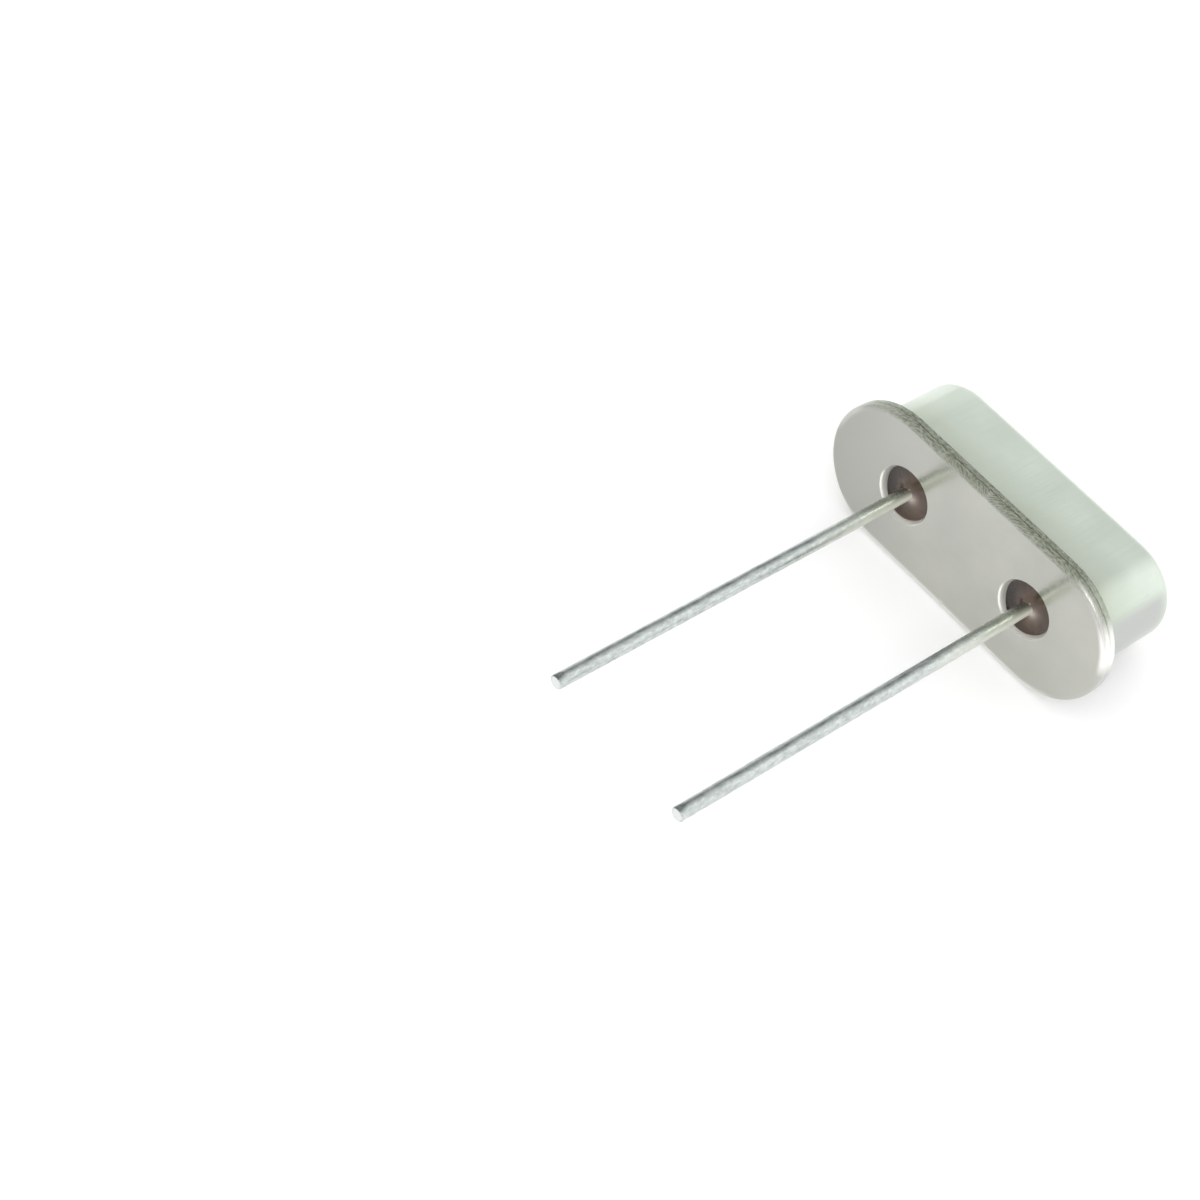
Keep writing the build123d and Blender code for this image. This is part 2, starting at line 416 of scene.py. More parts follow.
# Weights of the rings of a flat plate. Each end has one more close by, which keeps the plate flat
PLATE_WEIGHTS = np.array([0, 0.012, 0.2, 0.4, 0.6, 0.8, 0.95, 0.988, 1])


def half_outline(reach, half_length):
    """Right half of an obround, from the middle of its +Y side round the end and back up the middle line.

    x is a share of the half length plus reach times the cosine of the angle, and y is reach times its
    sine.
    """
    share = np.r_[SLIDE, 0 * TURN + 1, SLIDE[::-1], 0 * MIDDLE]
    outwards = np.r_[0 * SLIDE, np.cos(TURN), 0 * SLIDE, 0 * MIDDLE]
    sideways = np.r_[0 * SLIDE + 1, np.sin(TURN), 0 * SLIDE - 1, MIDDLE]
    return np.column_stack([half_length * share + reach * outwards, reach * sideways])


def ring(outline, height):
    """Outline in plan, set at one height."""
    return np.column_stack([outline, np.full(len(outline), height)])


def plate(inner, outer):
    """Flat plate between two rings: the weighted mean of the two, for growing weights."""
    weight = PLATE_WEIGHTS[:, None, None]
    return inner * (1 - weight) + outer * weight


def base_sections():
    """Profiles of the base: the wall and mouth of a hole, and the outside from the face up to the boss.

    The mouth is a quarter of an ellipse, from the throat's radius at its depth to the mouth's radius at
    the face.
    """
    widening = HOLE_MOUTH_RADIUS - HOLE_RADIUS
    mouth_reach = HOLE_MOUTH_RADIUS - widening * np.cos(MOUTH_TURN)
    mouth_height = HOLE_MOUTH_DEPTH * (1 - np.sin(MOUTH_TURN))
    hole = np.vstack([
        run((HOLE_RADIUS, BOSS_TOP, 0), (HOLE_RADIUS, HOLE_MOUTH_DEPTH, 0), 6),
        np.column_stack([mouth_reach, mouth_height, 0 * MOUTH_TURN]),
    ])
    rim_half, boss_half = (FLANGE_LENGTH - FLANGE_WIDTH) / 2, (BOSS_LENGTH - BOSS_WIDTH) / 2
    rim, boss, edge = FLANGE_WIDTH / 2, BOSS_WIDTH / 2, SHEARED_ROUNDING
    boss_edge = BOSS_TOP - BOSS_ROUNDING
    outside = np.vstack([
        arc(rim - FACE_ROUNDING, FACE_ROUNDING, FACE_ROUNDING, -90, 0, rim_half, 12),
        run((rim, FACE_ROUNDING, rim_half), (rim, BASE_FLANGE - edge, rim_half), 2),
        arc(rim - edge, BASE_FLANGE - edge, edge, 0, 90, rim_half, 6),
        run((rim - edge, BASE_FLANGE, rim_half), (boss, BASE_FLANGE, boss_half), 3),
        run((boss, BASE_FLANGE, boss_half), (boss, boss_edge, boss_half), 2),
        arc(boss - BOSS_ROUNDING, boss_edge, BOSS_ROUNDING, 0, 90, boss_half, 6),
    ])
    return hole, outside


def base_half(side):
    """Right half of the base as rings, the faces to keep, how torn a point is, and its shares of painted
    highlight and of the pale matt glass coat.

    The rings go down a hole, out over the face, round the rim, up the boss and back into the hole. Those
    about the hole have their points at the angles at which its centre sees the points of the outermost
    ring of the face. On the middle line the rim and the boss have no faces, because the other half goes on
    there. side only chooses the wear and the painted highlight.
    """
    hole, outside = base_sections()
    face_outline = half_outline(FLANGE_WIDTH / 2 - FACE_ROUNDING, (FLANGE_LENGTH - FLANGE_WIDTH) / 2)
    towards = face_outline - HOLE_CENTRE
    towards = towards / np.linalg.norm(towards, axis=1)[:, None]
    wall = np.stack([ring(HOLE_CENTRE + reach * towards, height) for reach, height, _ in hole])
    rim = np.stack([ring(half_outline(reach, half), height) for reach, height, half in outside])
    face = plate(wall[-1], rim[0])
    boss_face = plate(rim[-1], wall[0])
    points = np.concatenate([wall, face, rim, boss_face])
    rows, columns = points.shape[:2]
    rim_start = len(wall) + len(face)
    rim_stop = rim_start + len(rim)
    keep = np.ones((rows - 1, columns - 1), bool)
    keep[rim_start:rim_stop - 1, 1 - len(MIDDLE):] = False

    way = np.degrees(np.r_[0 * SLIDE + pi, np.arccos(-np.sin(TURN)), 0 * SLIDE, 0 * MIDDLE])
    is_flange = outside[:, 0] > FLANGE_WIDTH / 2 - FACE_ROUNDING - TOUCH
    across = np.zeros(rows)
    across[len(wall):rim_start] = np.interp(PLATE_WEIGHTS, *WORN_FACE)
    across[rim_start:rim_stop] = np.interp(outside[:, 1], *WORN_ROUNDING) * is_flange
    torn, painted_highlight = edge_wear_and_highlight(way, side > 0, across[:, None])
    torn[:, -len(MIDDLE):] = 0
    painted_highlight[:, -len(MIDDLE):] = 0

    # Near white painted highlight on one side of the mouth, and the pale matt glass coat: all over the wall
    # and fading up the mouth, where it is painted highlight
    mouth = slice(len(wall) - len(MOUTH_TURN), len(wall))
    facing = towards @ np.array([side * MOUTH_HIGHLIGHT_SIDE[0], MOUTH_HIGHLIGHT_SIDE[1]])
    painted_highlight[mouth] = np.interp(MOUTH_TURN, *MOUTH_HIGHLIGHT)[:, None] * np.interp(facing, *MOUTH_HIGHLIGHT_FACING)
    fired_and_painted_highlight = np.zeros((rows, 1))
    fired_and_painted_highlight[:len(wall)] = 1
    fired_and_painted_highlight[mouth, 0] = np.interp(MOUTH_TURN, *MOUTH_FIRED_AND_HIGHLIGHT)
    return points, keep, torn, painted_highlight, fired_and_painted_highlight


def make_base(finish):
    """The right half of the base and its mirror image, joined on the middle line."""
    grids = []
    for side in SIDES.values():
        points, keep, torn, painted_highlight, fired_and_painted_highlight = base_half(side)
        points = points * np.array([side, 1, 1])
        # Painted shade, greyer towards the left end
        painted_end_shade = np.interp(-points[..., 0], *BASE_END_SHADE)
        grids.append(Grid(points, keep, torn=torn, painted_highlight=painted_highlight, fired_and_painted_highlight=fired_and_painted_highlight, painted_end_shade=painted_end_shade))
    return make_piece("coined_base", grids, finish, "base")


# The leads and the glass around them

def make_glass_bead(name, side, finish):
    """Glass ring between lead and hole.

    Its height falls off from each wall as exp(-distance / width), which is how glass wets them. On its
    outer face the climb up the wall grows with the square of the sine of the angle towards +Y, and the
    climb up the lead with a bell curve about the upper side. A painted shade darkens the glass by the
    cosine of the angle from a side close to -X, and a pale painted glint lies close to the lead.
    """
    reach = BARE_RADIUS + (HOLE_RADIUS - BARE_RADIUS) * (1 - np.cos(np.linspace(0, pi, 33))) / 2
    from_lead, from_wall = reach - BARE_RADIUS, HOLE_RADIUS - reach
    climb = (
        GLASS_CLIMB_AT_LEAD * np.exp(-from_lead / GLASS_FALL_AT_LEAD)
        + GLASS_CLIMB_AT_WALL * np.exp(-from_wall / GLASS_FALL_AT_WALL))
    inner_height = BOSS_TOP - GLASS_INNER_RECESS + GLASS_INNER_CLIMB * climb
    outer = np.column_stack([reach, GLASS_RECESS - climb, 0 * reach])
    inner = np.column_stack([reach, inner_height, 0 * reach])[::-1]
    section = np.vstack([outer, run(outer[-1], inner[0], 4), inner, run(inner[-1], outer[0], 4)])
    points = revolved(section, side * LEAD_PITCH / 2, 96)

    angle = np.linspace(0, 2 * pi, points.shape[1])
    to_back = np.clip(np.sin(angle), 0, 1) ** 2
    to_top = bell_round(angle, GLASS_TOP_SIDE, GLASS_TOP_WIDTH)
    at_wall = np.exp(-from_wall / GLASS_WIDE_FALL)[:, None]
    at_lead = np.exp(-from_lead / GLASS_WIDE_FALL)[:, None]
    more = GLASS_CLIMB_AT_BACK * to_back * at_wall + GLASS_CLIMB_AT_TOP * to_top * at_lead
    points[:len(reach), :, 2] -= more
    points[-1] = points[0]

    # Pale painted glint close to the lead, palest on one side, and painted shade away from it, darkest
    # towards -X
    distance = section[:, :1]
    palest = bell_round(angle, GLASS_GLINT_SIDE, GLASS_GLINT_WIDTH, GLASS_GLINT_LEAST)
    painted_glint = np.exp(-(distance - BARE_RADIUS) / GLASS_GLINT_FALL) * palest
    painted_recess_shade = np.clip(-np.cos(angle + GLASS_SHADE_TURN), 0, 1) * np.interp(distance, *GLASS_SHADE_DISTANCES)
    grid = Grid(points, painted_glint=painted_glint, painted_recess_shade=painted_recess_shade)
    return make_piece("glass_bead_" + name, [grid], finish, "glass_seal_" + name)


def lead_section():
    """Half section of a lead from its cut end to its flattened head, each line with its count of steps."""
    tip, taper = -LEAD_LENGTH, -TIN_END - TIN_TAPER
    rounding = LEAD_TIP_ROUNDING
    head_edge = (HEAD_TOP - HEAD_BOTTOM) / 2
    head_reach = HEAD_RADIUS - head_edge
    return np.vstack([
        run((0, tip, 0), (LEAD_RADIUS - rounding, tip, 0), 4),
        arc(LEAD_RADIUS - rounding, tip + rounding, rounding, -90, 0, 0, 6),
        run((LEAD_RADIUS, tip + rounding, 0), (LEAD_RADIUS, taper, 0), 240),
        run((LEAD_RADIUS, taper, 0), (BARE_RADIUS, -TIN_END, 0), 6),
        run((BARE_RADIUS, -TIN_END, 0), (BARE_RADIUS, HEAD_BOTTOM, 0), 8),
        run((BARE_RADIUS, HEAD_BOTTOM, 0), (head_reach, HEAD_BOTTOM, 0), 2),
        arc(head_reach, HEAD_BOTTOM + head_edge, head_edge, -90, 90, 0, 8),
        run((head_reach, HEAD_TOP, 0), (0, HEAD_TOP, 0), 2),
    ])


def tin_waves(height, angle, side):
    """Unevenness of the tin: a sum of sines of height and angle, which fades out close to both its ends."""
    tip, end = -LEAD_LENGTH, -TIN_END
    ends = (tip + TIN_EVEN_FOR, tip + TIN_UNEVEN_FROM, end - TIN_UNEVEN_FROM, end - TIN_EVEN_FOR)
    waves = sum(
        np.sin(along * height + around * angle + start + side) / (1 + TIN_WAVE_LOSS * around)
        for along, around, start in TIN_WAVES)
    return TIN_UNEVENNESS * np.interp(height, ends, (0, 1, 1, 0)) * waves


def die_line(height, angle, side, place, width, depth, start):
    """One line of the die: a bell curve of the angle about a place that wanders a little along the wire.

    Two sines of the height move the place, and the product of two more weakens the line here and there.
    """
    (far, slow), (near, quick) = DIE_STRAYS
    share, coarse, fine = DIE_BREAKS
    wander = far * np.sin(slow * height + start + side) + near * np.sin(quick * height + 2 * start)
    broken = 1 - share + share * np.sin(coarse * height + start) * np.sin(fine * height + 2 * side)
    return depth * broken * bell_round(angle, radians(place) + wander, radians(width))


def make_lead(name, side, finish):
    """Round wire turned from its half section, with its reach scaled by the unevenness of the tin."""
    section = lead_section()
    points = revolved(section, 0.0, 72)
    angle = np.linspace(0, 2 * pi, points.shape[1])
    distance, height = section[:, :1], section[:, 1:2]
    points[..., :2] *= (1 + tin_waves(height, angle, side))[..., None]
    points[:, -1] = points[:, 0]
    points += np.array([side * LEAD_PITCH / 2, 0, 0])

    above_cut = height + LEAD_LENGTH
    tarnished = np.interp(height, *TARNISHED_HEIGHTS)
    # The first line is painted shade along the upper side
    lines = np.max([die_line(height, angle, side, *line) for line in DIE_AND_SHADE_LINES], axis=0)
    smeared = np.interp(above_cut, (0, BURR_LENGTH), (1, 0)) * bell_round(angle, BURR_SIDE, BURR_WIDTH)
    smeared = BURR_STRENGTH * smeared * (above_cut > TOUCH)
    thin_tin_and_painted_shade = np.clip(lines * (1 - TARNISH_OVER_LINES * tarnished) + smeared, 0, 1)
    cut = (above_cut < TOUCH) * np.interp(distance, *CUT_WHITE)
    # Pale matt coat by height, a painted highlight on the free wire, palest on its lower side
    fired_and_painted_highlight = np.interp(height, *FIRED_AND_HIGHLIGHT_HEIGHTS) * bell_round(angle, HIGHLIGHT_SIDE, HIGHLIGHT_WIDTH, HIGHLIGHT_LEAST)
    grid = Grid(points, thin_tin_and_painted_shade=thin_tin_and_painted_shade, cut=cut, fired_and_painted_highlight=fired_and_painted_highlight, tarnished=tarnished)
    return make_piece("tinned_lead_" + name, [grid], finish, "lead_" + name)


# Materials. Sizes of grains and distances of bumps are in millimetres. The pieces give a material its
# shares of wear, finish, painted shade and painted highlight as values per point, and a piece without a
# value of that name gives 0.

# Sockets of a Mix node that go by number because several share a name, and what makes it mix colours or
# vectors
A_VECTOR, B_VECTOR = 4, 5
A_COLOUR, B_COLOUR = 6, 7
OF_VECTORS = {"out": 1, "data_type": "VECTOR"}
OF_COLOURS = {"out": 2, "data_type": "RGBA"}


def linear(hex_colour):
    """Linear RGBA of an sRGB hex colour.

    A value up to 0.04045 is divided by 12.92, and a greater one is ((value + 0.055) / 1.055) to the power
    2.4.
    """
    values = [int(hex_colour[i:i + 2], 16) / 255 for i in (1, 3, 5)]
    return [v / 12.92 if v <= 0.04045 else ((v + 0.055) / 1.055) ** 2.4 for v in values] + [1.0]


def add(tree, kind, inputs=None, out=0, **settings):
    """Adds a node and gives one of its outputs.

    inputs are sockets by name or number, each with a value or another node's output, and settings are the
    node's own properties.
    """
    node = tree.nodes.new("ShaderNode" + kind)
    for name, value in settings.items():
        setattr(node, name, value)
    for socket, value in (inputs or {}).items():
        if isinstance(value, bpy.types.NodeSocket):
            tree.links.new(value, node.inputs[socket])
        else:
            node.inputs[socket].default_value = value
    return node.outputs[out] if node.outputs else None


def new_material(name):
    """Empty material: the material, its tree and upright object coordinates in millimetres."""
    material = bpy.data.materials.new(name)
    material.use_nodes = True
    tree = material.node_tree
    tree.nodes.clear()
    place = add(tree, "TexCoord", out="Object")
    upright = add(tree, "Mapping", {"Vector": place, "Rotation": (-LAY_TURN, 0, 0), "Scale": (1 / MM,) * 3})
    return material, tree, upright


def grain(tree, place, size, detail=3.0, roughness=0.5, low=0.3, high=0.7):
    """Noise from 0 to 1 whose grains are size mm along X, Y and Z."""
    scaled = add(tree, "Mapping", {"Vector": place, "Scale": tuple(1 / s for s in size)})
    sockets = {"Vector": scaled, "Scale": 1.0, "Detail": detail, "Roughness": roughness}
    noise = add(tree, "TexNoise", sockets)
    return add(tree, "MapRange", {"Value": noise, "From Min": low, "From Max": high})


def nickel_plate(name, dark, light, dull, grey, streak_size, shine):
    """Satin nickel plate on steel: a metal that mirrors with soft outlines.

    It carries painted shade: darker in clouds low on the can, where the flange shades it, in the colour
    dull, and greyer at one end, in the colour grey. It is dark and ragged where the sheet was torn. It
    carries a near white painted highlight on edges and on one side of the mouth of a hole, and a pale matt
    glass coat in the throat of a hole, which is painted highlight where it shows. The streaks of the tool
    and the torn grain are drawn a few times coarser than the real micrometres, so that they show.
    """
    material, tree, upright = new_material(name)
    torn, painted_highlight, painted_flange_shade, fired_and_painted_highlight, painted_end_shade = [
        add(tree, "Attribute", out="Fac", attribute_name=share)
        for share in ("torn", "painted_highlight", "painted_flange_shade", "fired_and_painted_highlight", "painted_end_shade")]
    along_edge = add(tree, "UVMap", uv_map="millimetres")
    cloud = grain(tree, upright, (1.6, 1.6, 1.6))
    streaks = grain(tree, upright, streak_size, detail=4.0, roughness=0.6)
    pits = grain(tree, upright, (0.05, 0.05, 0.05), detail=2.0)
    lines = grain(tree, along_edge, (0.6, 0.03, 1.0), roughness=0.6)
    tears = grain(tree, along_edge, (0.13, 0.06, 1.0), detail=4.0, roughness=0.7, low=0.38, high=0.62)
    ragged = add(tree, "Mix", {"Factor": 0.4, "A": tears, "B": lines})

    tone = add(tree, "Mix", {"Factor": 0.3, "A": cloud, "B": streaks})
    patchy_flange_shade = add(tree, "Math", {0: painted_flange_shade, 1: cloud, 2: painted_flange_shade}, operation="MULTIPLY_ADD")
    half_patchy_flange_shade = add(tree, "Math", {0: patchy_flange_shade, 1: 0.5}, operation="MULTIPLY")
    broken_metal = {"Factor": ragged, A_COLOUR: linear("#444b3b"), B_COLOUR: linear("#b7bcac")}
    satin_metal = {"Factor": tone, A_COLOUR: linear(dark), B_COLOUR: linear(light)}
    colour = add(tree, "Mix", satin_metal, **OF_COLOURS)
    # Painted shade low on the can and at one end, the torn edge, the pale matt glass coat, and near white
    # painted highlight
    layers = [
        (half_patchy_flange_shade, linear(dull)),
        (painted_end_shade, linear(grey)),
        (torn, add(tree, "Mix", broken_metal, **OF_COLOURS)),
        (fired_and_painted_highlight, linear("#d8d6cf")),
        (painted_highlight, linear("#f4f5f0")),
    ]
    for share, layer in layers:
        colour = add(tree, "Mix", {"Factor": share, A_COLOUR: colour, B_COLOUR: layer}, **OF_COLOURS)

    satin = add(tree, "MapRange", {"Value": streaks, "To Min": shine[0], "To Max": shine[1]})
    satin_or_torn = add(tree, "Mix", {"Factor": torn, "A": satin, "B": 0.38})
    pitted = add(tree, "Bump", {"Height": pits, "Distance": 0.0003 * MM})
    drawn = add(tree, "Bump", {"Height": streaks, "Distance": 0.0003 * MM, "Normal": pitted})
    broken = add(tree, "Bump", {"Height": ragged, "Distance": 0.012 * MM, "Normal": drawn})
    shader = add(tree, "BsdfPrincipled", {
        "Base Color": colour,
        "Metallic": add(tree, "MapRange", {"Value": fired_and_painted_highlight, "To Min": 1.0, "To Max": 0.2}),
        "Roughness": add(tree, "Mix", {"Factor": fired_and_painted_highlight, "A": satin_or_torn, "B": 0.5}),
        "Normal": add(tree, "Mix", {"Factor": torn, A_VECTOR: drawn, B_VECTOR: broken}, **OF_VECTORS),
    })
    add(tree, "OutputMaterial", {"Surface": shader})
    return material


def fused_glass():
    """Brown glass fused in the hole: opaque and glossy, so that it repeats the lead, with small bubbles.

    It has iron-brown clouds, is darker on one side where a painted shade lies, and has a pale painted glint
    close to the lead.
    """
    material, tree, upright = new_material("fused brown glass")
    painted_glint, painted_recess_shade = [add(tree, "Attribute", out="Fac", attribute_name=share) for share in ("painted_glint", "painted_recess_shade")]
    cloud = grain(tree, upright, (0.35, 0.35, 0.35))
    bubbles = grain(tree, upright, (0.07, 0.07, 0.07), detail=2.0)
    browns = {"Factor": cloud, A_COLOUR: linear("#403026"), B_COLOUR: linear("#584434")}
    colour = add(tree, "Mix", browns, **OF_COLOURS)
    # Painted shade, then a pale painted glint close to the lead
    for share, layer in [(painted_recess_shade, linear("#2a1f18")), (painted_glint, linear("#f6e6da"))]:
        colour = add(tree, "Mix", {"Factor": share, A_COLOUR: colour, B_COLOUR: layer}, **OF_COLOURS)
    shader = add(tree, "BsdfPrincipled", {
        "Base Color": colour,
        "Roughness": 0.05,
        "IOR": 1.52,
        "Normal": add(tree, "Bump", {"Height": bubbles, "Distance": 0.0008 * MM}),
    })
    add(tree, "OutputMaterial", {"Surface": shader})
    return material


def tinned_wire():
    """Hot tinned wire: bright, finely crystalline metal.

    It is grey along the lines where the die thinned the tin and where the tin was smeared at the cut; one
    line on the upper side is painted shade. It is white where it was cut and a little yellow where it
    tarnished, and has a pale matt coat where it met the glass, which is painted highlight on the free wire
    below the base. The crystals are drawn coarser than the real ones, so that they show.
    """
    material, tree, upright = new_material("tinned nickel iron wire")
    thin_tin_and_painted_shade, cut, fired_and_painted_highlight, tarnished = [
        add(tree, "Attribute", out="Fac", attribute_name=share)
        for share in ("thin_tin_and_painted_shade", "cut", "fired_and_painted_highlight", "tarnished")]
    crystals = grain(tree, upright, (0.1, 0.1, 0.22), detail=4.0, roughness=0.65)
    fine = grain(tree, upright, (0.035, 0.035, 0.06), detail=2.0)
    tin = {"Factor": crystals, A_COLOUR: linear("#abb2b0"), B_COLOUR: linear("#d6dcd9")}
    worn_and_shaded = {"Factor": fine, A_COLOUR: linear("#585e5c"), B_COLOUR: linear("#7d8482")}
    colour = add(tree, "Mix", tin, **OF_COLOURS)
    # Layers: the pale matt coat, a painted highlight below the base; grey thin tin and the painted shade
    # line; tarnish; the cut end
    layers = [
        (fired_and_painted_highlight, linear("#f5f6f1"), "MIX"),
        (thin_tin_and_painted_shade, add(tree, "Mix", worn_and_shaded, **OF_COLOURS), "MIX"),
        (tarnished, linear("#fcfcf1"), "MULTIPLY"),
        (cut, linear("#dfe2e0"), "MIX"),
    ]
    for share, layer, blend in layers:
        mixed = {"Factor": share, A_COLOUR: colour, B_COLOUR: layer}
        colour = add(tree, "Mix", mixed, blend_type=blend, **OF_COLOURS)

    matt = add(tree, "Math", {0: fired_and_painted_highlight, 1: cut}, operation="MAXIMUM")
    satin = add(tree, "MapRange", {"Value": crystals, "To Min": 0.3, "To Max": 0.2})
    coarse = add(tree, "Bump", {"Height": crystals, "Distance": 0.002 * MM})
    shader = add(tree, "BsdfPrincipled", {
        "Base Color": colour,
        "Metallic": add(tree, "MapRange", {"Value": fired_and_painted_highlight, "To Min": 1.0, "To Max": 0.0}),
        "Roughness": add(tree, "Mix", {"Factor": matt, "A": satin, "B": 0.45}),
        "Normal": add(tree, "Bump", {"Height": fine, "Distance": 0.001 * MM, "Normal": coarse}),
    })
    add(tree, "OutputMaterial", {"Surface": shader})
    return material


def rolled_strip():
    """Rolled nickel silver strip: warm grey metal with fine rolling lines along X."""
    material, tree, upright = new_material("rolled nickel silver strip")
    lines = grain(tree, upright, (1.2, 0.02, 0.02))
    greys = {"Factor": lines, A_COLOUR: linear("#b3ad9f"), B_COLOUR: linear("#cdc8bb")}
    shader = add(tree, "BsdfPrincipled", {
        "Base Color": add(tree, "Mix", greys, **OF_COLOURS),
        "Metallic": 1.0,
        "Roughness": add(tree, "MapRange", {"Value": lines, "To Min": 0.24, "To Max": 0.34}),
        "Normal": add(tree, "Bump", {"Height": lines, "Distance": 0.001 * MM}),
    })
    add(tree, "OutputMaterial", {"Surface": shader})
    return material


def lapped_quartz():
    """Lapped quartz: clear crystal whose ground faces scatter the light to a frosted look."""
    material, tree, upright = new_material("lapped quartz")
    grit = grain(tree, upright, (0.02, 0.02, 0.02), detail=2.0)
    whites = {"Factor": grit, A_COLOUR: linear("#eef2f4"), B_COLOUR: linear("#fbfcfc")}
    shader = add(tree, "BsdfPrincipled", {
        "Base Color": add(tree, "Mix", whites, **OF_COLOURS),
        "Transmission Weight": 1.0,
        "Roughness": 0.35,
        "IOR": 1.544,
        "Normal": add(tree, "Bump", {"Height": grit, "Distance": 0.002 * MM}),
    })
    add(tree, "OutputMaterial", {"Surface": shader})
    return material


def silver_film():
    """Silver evaporated on lapped quartz: bright metal that repeats the fine grit under it."""
    material, tree, upright = new_material("evaporated silver")
    grit = grain(tree, upright, (0.02, 0.02, 0.02), detail=2.0)
    silvers = {"Factor": grit, A_COLOUR: linear("#e6e6e2"), B_COLOUR: linear("#f4f3f0")}
    shader = add(tree, "BsdfPrincipled", {
        "Base Color": add(tree, "Mix", silvers, **OF_COLOURS),
        "Metallic": 1.0,
        "Roughness": 0.22,
        "Normal": add(tree, "Bump", {"Height": grit, "Distance": 0.0008 * MM}),
    })
    add(tree, "OutputMaterial", {"Surface": shader})
    return material


def silver_cement():
    """Cured silver-filled cement: dull grey paste with flakes that glint."""
    material, tree, upright = new_material("silver-filled cement")
    flakes = grain(tree, upright, (0.03, 0.03, 0.03), detail=2.0, low=0.45, high=0.6)
    greys = {"Factor": flakes, A_COLOUR: linear("#8f8f8c"), B_COLOUR: linear("#c9c9c5")}
    shader = add(tree, "BsdfPrincipled", {
        "Base Color": add(tree, "Mix", greys, **OF_COLOURS),
        "Metallic": 0.6,
        "Roughness": add(tree, "MapRange", {"Value": flakes, "To Min": 0.7, "To Max": 0.4}),
        "Normal": add(tree, "Bump", {"Height": flakes, "Distance": 0.006 * MM}),
    })
    add(tree, "OutputMaterial", {"Surface": shader})
    return material


# Studio

# Half the side of the square floor in metres, and its two whites: the one that lights the crystal, and the
# one that the camera and reflections see, which comes out as pure white where nothing shades it
FLOOR_HALF_SIDE = 0.6
FLOOR_WHITE = 0.8
FLOOR_WHITE_SEEN = 1.12


def make_floor():
    """Square matt white table top at z = 0."""
    half = FLOOR_HALF_SIDE
    mesh = bpy.data.meshes.new("table_top")
    corners = [(-half, -half, 0), (half, -half, 0), (half, half, 0), (-half, half, 0)]
    mesh.from_pydata(corners, [], [(0, 1, 2, 3)])
    material = bpy.data.materials.new("matt white laminate")
    material.use_nodes = True
    tree = material.node_tree
    tree.nodes.clear()
    seen = 0.0
    for ray in ("Is Camera Ray", "Is Glossy Ray", "Is Transmission Ray"):
        seen = add(tree, "Math", {0: seen, 1: add(tree, "LightPath", out=ray)}, operation="MAXIMUM")
    white = add(tree, "MapRange", {"Value": seen, "To Min": FLOOR_WHITE, "To Max": FLOOR_WHITE_SEEN})
    add(tree, "OutputMaterial", {"Surface": add(tree, "BsdfDiffuse", {"Color": white})})
    mesh.materials.append(material)
    floor = bpy.data.objects.new("table_top", mesh)
    bpy.context.scene.collection.objects.link(floor)


# Even light of the studio, and its soft areas: elevation, azimuth and half angle in degrees, and what they
# add to the light from there
STUDIO_LEVEL = 0.92
STUDIO_AREAS = [
    (13, 42, 46, 0.36),
    (8, -48, 34, 0.1),
    (35, 130, 34, 0.25),
    (54, 142, 13, 4.5),
]


def direction(elevation, azimuth):
    """Unit vector at an elevation above the ground and an azimuth from +Y towards +X, in degrees."""
    level = cos(radians(elevation))
    return level * sin(radians(azimuth)), level * cos(radians(azimuth)), sin(radians(elevation))


def make_studio():
    """White surroundings for the camera; for the light, an even white room with soft brighter areas.

    An area adds its light by a smooth step of the cosine of the angle from its middle, from none at its
    edge.
    """
    world = bpy.data.worlds.new("soft white studio")
    bpy.context.scene.world = world
    world.use_nodes = True
    tree = world.node_tree
    tree.nodes.clear()
    towards = add(tree, "TexCoord", out="Generated")
    level = STUDIO_LEVEL
    for elevation, azimuth, half_angle, gain in STUDIO_AREAS:
        middle = {0: towards, 1: direction(elevation, azimuth)}
        facing = add(tree, "VectorMath", middle, out="Value", operation="DOT_PRODUCT")
        edge = cos(radians(half_angle))
        step = {"Value": facing, "From Min": edge, "From Max": 1.0, "To Min": 0.0, "To Max": gain}
        area = add(tree, "MapRange", step, interpolation_type="SMOOTHSTEP")
        level = add(tree, "Math", {0: level, 1: area}, operation="ADD")
    to_camera = add(tree, "LightPath", out="Is Camera Ray")
    strength = add(tree, "Mix", {"Factor": to_camera, "A": level, "B": 1.0})
    white = add(tree, "Background", {"Color": (1, 1, 1, 1), "Strength": strength})
    add(tree, "OutputWorld", {"Surface": white})


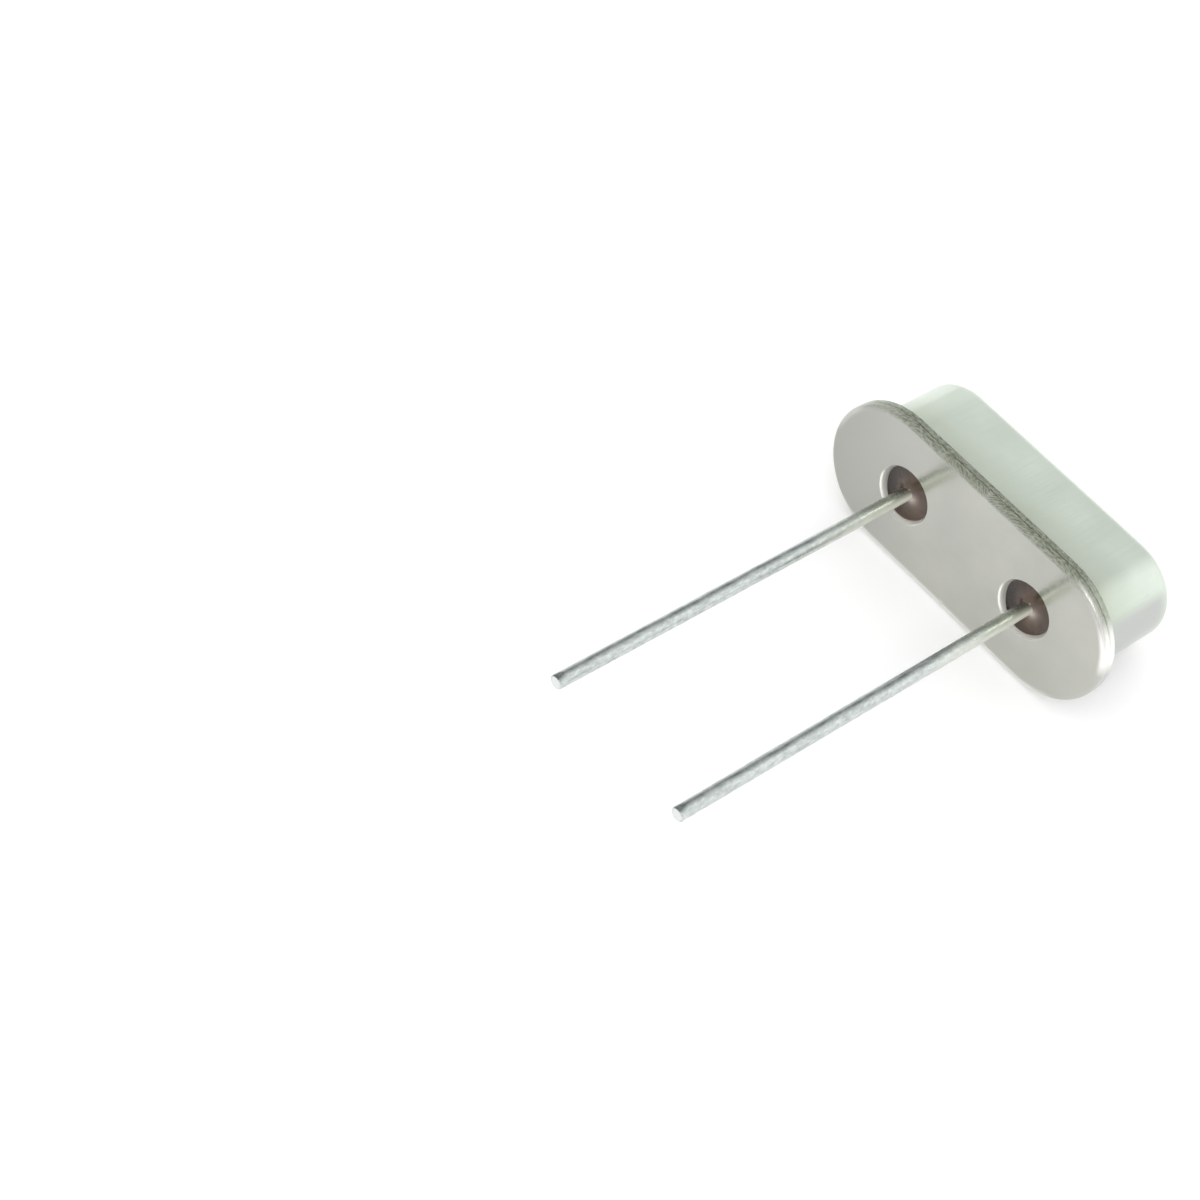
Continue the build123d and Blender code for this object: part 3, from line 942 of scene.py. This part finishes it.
# Camera: where the middle of its view meets the ground, how far off it is and how it is turned, in mm and
# degrees
AIM = (-6.3546, -3.5499, 0.0)
DISTANCE = 73.4698
HEADING = 53.1949
LOOKS_DOWN = 58.8994
ROLL = -2.3019
LENS = 76.7105
SENSOR = 36.0
NEAREST = 1.0


def make_camera():
    """Camera turned by roll, tilt and heading in that order, and moved back from its aim along its view."""
    heading = Matrix.Rotation(radians(HEADING), 4, "Z")
    tilt = Matrix.Rotation(radians(90 - LOOKS_DOWN), 4, "X")
    turn = heading @ tilt @ Matrix.Rotation(radians(ROLL), 4, "Z")
    back = turn @ Vector((0, 0, DISTANCE * MM))
    camera = bpy.data.objects.new("camera", bpy.data.cameras.new("camera"))
    camera.matrix_world = Matrix.Translation(Vector(AIM) * MM + back) @ turn
    camera.data.lens = LENS
    camera.data.sensor_width = SENSOR
    camera.data.clip_start = NEAREST * MM
    bpy.context.scene.collection.objects.link(camera)
    bpy.context.scene.camera = camera


# The scene

# dull is the colour of the painted shade low on the can, and grey that of the painted shade at one end
can_plate = nickel_plate(
    "satin nickel on drawn steel",
    dark="#c9d2c7", light="#d7e0d5", dull="#b3bbab", grey="#bdbfbc",
    streak_size=(0.05, 0.05, 1.5), shine=(0.15, 0.22))
base_plate = nickel_plate(
    "satin nickel on coined steel",
    dark="#b4b5ae", light="#c0c0b9", dull="#a8a9a2", grey="#a5a6a1",
    streak_size=(0.1, 0.1, 0.1), shine=(0.16, 0.22))
glass = fused_glass()
wire = tinned_wire()

make_can(can_plate)
make_base(base_plate)
for name, side in SIDES.items():
    make_glass_bead(name, side, glass)
    make_lead(name, side, wire)

hidden_finishes = [
    (rolled_strip(), ["clip_left", "clip_right"]),
    (lapped_quartz(), ["quartz_blank"]),
    (silver_film(), ["electrode_base_side", "electrode_can_side"]),
    (silver_cement(), ["cement_left", "cement_right"]),
]
for finish, nodes in hidden_finishes:
    for node in nodes:
        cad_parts[node].data.materials.clear()
        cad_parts[node].data.materials.append(finish)

make_floor()
make_studio()
make_camera()
bpy.context.scene.view_settings.view_transform = "Standard"
